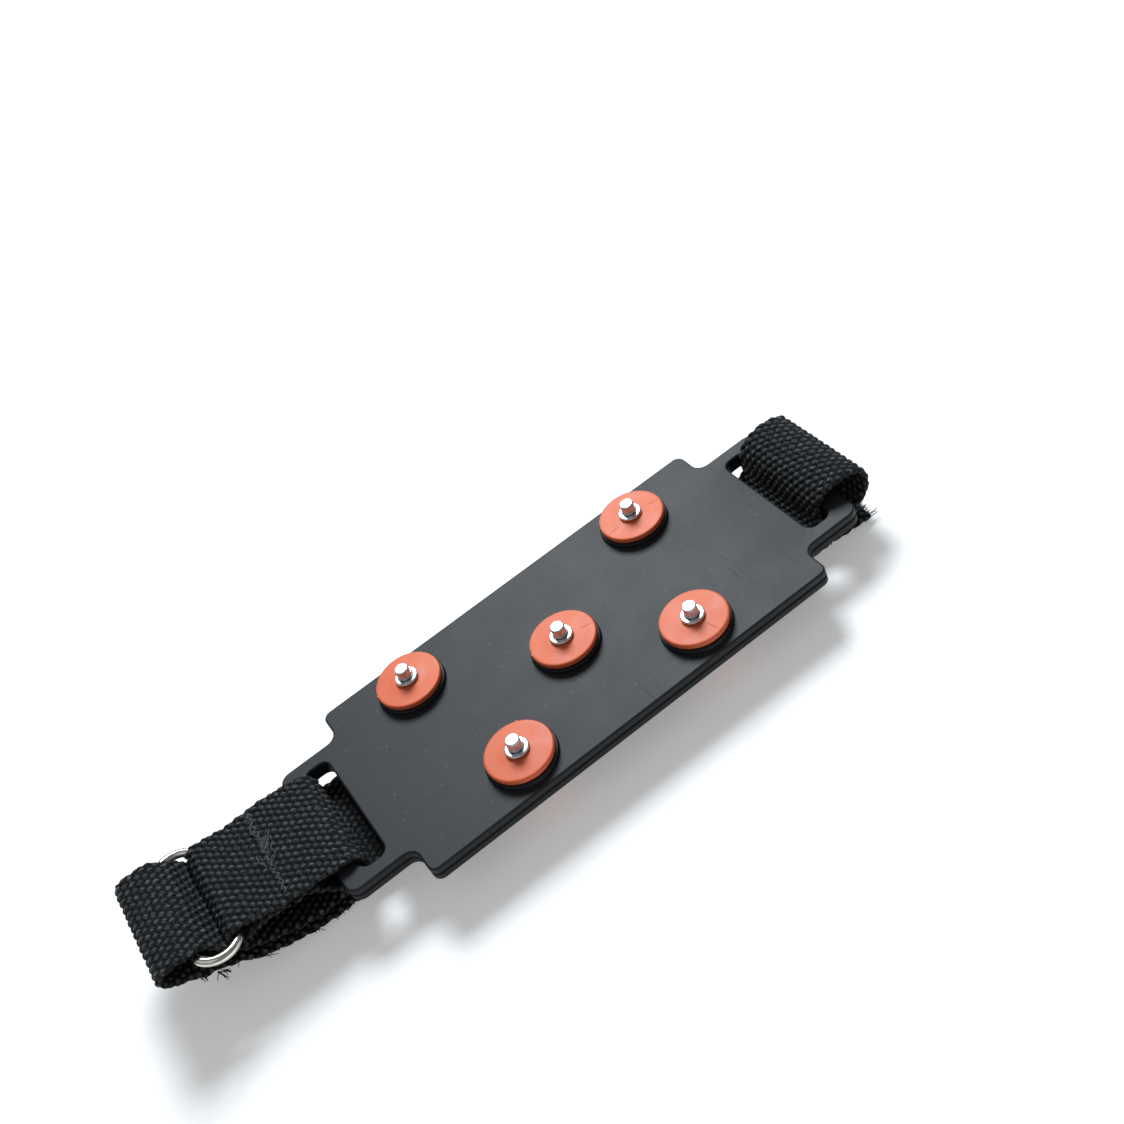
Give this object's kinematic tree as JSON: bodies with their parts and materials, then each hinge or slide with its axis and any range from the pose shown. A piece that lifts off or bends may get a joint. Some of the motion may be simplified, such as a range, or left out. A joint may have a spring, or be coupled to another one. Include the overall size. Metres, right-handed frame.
{
  "type": "shoe ice cleat",
  "caption": "Strap-on shoe ice cleat: a black rubber plate with steel studs on orange discs, held by a webbing strap with a wire ring and hook-and-loop closure.",
  "frame": {"origin": "on the surface the cleat lies on, under the plate's centre", "axes": "+X along the plate towards the ear that holds the long strap; +Z the way the studs point, away from the closed strap underneath; +Y across the plate towards the wider pair of studs"},
  "size_m": [0.2305, 0.0704, 0.0261],
  "materials": {
    "rubber": "matte moulded black rubber",
    "orange_plastic": "smooth moulded orange plastic",
    "zinc_steel": "bright zinc-plated steel",
    "nickel_wire": "polished nickel-plated wire",
    "webbing": "coarse woven black webbing",
    "loop_pile": "fuzzy loop pile",
    "hook_tape": "hook tape"
  },
  "bodies": {
    "strap_end": {"strap_end": "webbing", "outer_loop_tape": "loop_pile", "hook_tape": "hook_tape"},
    "strap": {"main_strap": "webbing", "ring_fold": "webbing", "inner_loop_tape": "loop_pile"},
    "plate": {"sole_plate": "rubber", "outer_disc_1": "orange_plastic", "outer_disc_2": "orange_plastic", "outer_disc_3": "orange_plastic", "outer_disc_4": "orange_plastic", "outer_disc_5": "orange_plastic", "inner_disc_1": "orange_plastic", "inner_disc_2": "orange_plastic", "inner_disc_3": "orange_plastic", "inner_disc_4": "orange_plastic", "inner_disc_5": "orange_plastic", "stud_collar_1": "zinc_steel", "stud_collar_2": "zinc_steel", "stud_collar_3": "zinc_steel", "stud_collar_4": "zinc_steel", "stud_collar_5": "zinc_steel", "stud_1": "zinc_steel", "stud_2": "zinc_steel", "stud_3": "zinc_steel", "stud_4": "zinc_steel", "stud_5": "zinc_steel"},
    "ring_strap": {"ring_strap": "webbing"},
    "ring": {"ring": "nickel_wire"}
  },
  "joints": [
    {"name": "closure_peel", "type": "hinge", "parent": "strap_end", "child": "strap", "pos_m": [-0.13555, 0, 0.0227], "axis": [0, -1, 0], "range_deg": [0, 150]},
    {"name": "plate_lift", "type": "hinge", "parent": "strap", "child": "plate", "pos_m": [0.0823, 0, 0.0135], "axis": [0, 1, 0], "range_deg": [0, 4]},
    {"name": "ring_strap_swing", "type": "hinge", "parent": "plate", "child": "ring_strap", "pos_m": [-0.0823, 0, 0.0135], "axis": [0, -1, 0], "range_deg": [0, 25.5]},
    {"name": "ring_pivot", "type": "hinge", "parent": "ring_strap", "child": "ring", "pos_m": [-0.1128, 0, 0.0194], "axis": [0, -1, 0], "range_deg": [-21.5, 0]}
  ],
  "couplings": [
    {"joint": "ring_strap_swing", "follows": "plate_lift", "ratio": 6.329},
    {"joint": "ring_pivot", "follows": "plate_lift", "ratio": -5.329}
  ]
}
